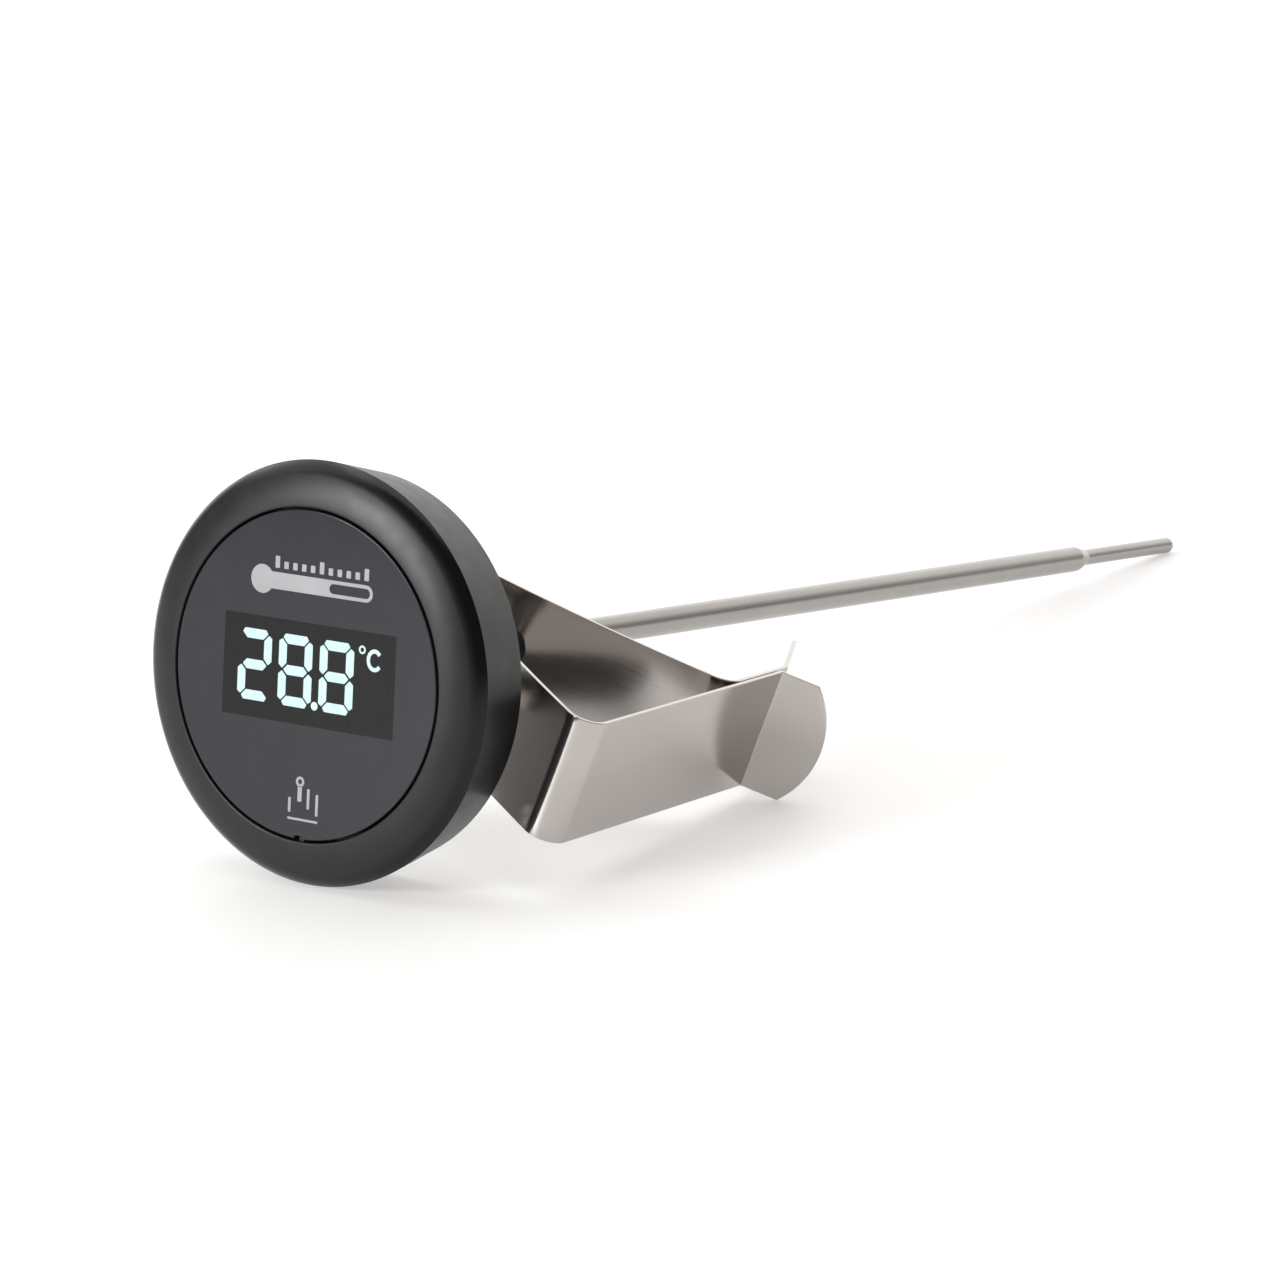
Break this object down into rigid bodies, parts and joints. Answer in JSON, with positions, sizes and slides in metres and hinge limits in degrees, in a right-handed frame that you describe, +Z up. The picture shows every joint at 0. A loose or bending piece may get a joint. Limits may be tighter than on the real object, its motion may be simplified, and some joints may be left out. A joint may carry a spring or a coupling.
{
  "type": "dial probe thermometer",
  "caption": "Digital dial thermometer for milk and coffee: round touch-display head on a thin steel stem, with a sliding spring clip that grips a jug's wall.",
  "frame": {"origin": "middle of the underside of the bounding box, on the table that the thermometer lies on", "axes": "+Z up from the table; the stem runs along +Y, dropping 6.95 degrees to its tip; the dial faces -Y; +X is to the right of somebody who reads the dial"},
  "size_m": [0.0574, 0.2004, 0.0496],
  "materials": {
    "head_plastic": "satin",
    "dial_face": "smooth",
    "adhesive": "matte",
    "display_body": "matte",
    "rubber": "matte",
    "board": "satin",
    "chip": "matte",
    "cell_steel": "satin",
    "contact_metal": "plated",
    "screw_steel": "satin",
    "stem_steel": "brushed",
    "clip_steel": "polished",
    "lead_insulation": "matte",
    "epoxy": "smooth"
  },
  "bodies": {
    "thermometer": {"bezel_housing": "head_plastic", "face_plate": "dial_face", "face_adhesive_ring": "adhesive", "led_display": "display_body", "touch_pad": "rubber", "circuit_board": "board", "controller_chip": "chip", "cell_holder": "head_plastic", "coin_cell": "cell_steel", "battery_contact_negative": "contact_metal", "battery_contact_positive": "contact_metal", "rear_cover": "head_plastic", "cover_gasket": "rubber", "cover_screw_1": "screw_steel", "cover_screw_2": "screw_steel", "cover_screw_3": "screw_steel", "cover_screw_4": "screw_steel", "cap_o_ring": "rubber", "stem_tube": "stem_steel", "stem_collar": "stem_steel", "collar_nut": "stem_steel", "collar_seal": "rubber", "lead_sleeve": "rubber", "sensor_lead_a": "lead_insulation", "sensor_lead_b": "lead_insulation", "thermistor_bead": "epoxy"},
    "battery_cap": {"battery_cap": "head_plastic"},
    "clip_bush": {"stem_grip_bush": "rubber"},
    "clip_strip": {"clip_strip": "clip_steel"},
    "clip_leg": {"clip_outer_leg": "clip_steel"}
  },
  "joints": [
    {"name": "battery_cap_twist", "type": "hinge", "parent": "thermometer", "child": "battery_cap", "pos_m": [-0.00371, -0.08538, 0.03617], "axis": [0, 0.9927, -0.121], "range_deg": [0, 35]},
    {"name": "clip_slide", "type": "slide", "parent": "thermometer", "child": "clip_bush", "axis": [0, 0.9927, -0.121], "range_m": [-0.0038, 0.125]},
    {"name": "clip_swivel", "type": "hinge", "parent": "clip_bush", "child": "clip_strip", "pos_m": [-0.00371, -0.0589, 0.02035], "axis": [0, 0.9927, -0.121], "continuous": true},
    {"name": "clip_leg_flex", "type": "hinge", "parent": "clip_strip", "child": "clip_leg", "pos_m": [0.02435, -0.08546, 0.01333], "axis": [-0.341, -0.1137, -0.9331], "range_deg": [0, 10], "stiffness_Nm_per_rad": 1.5}
  ]
}
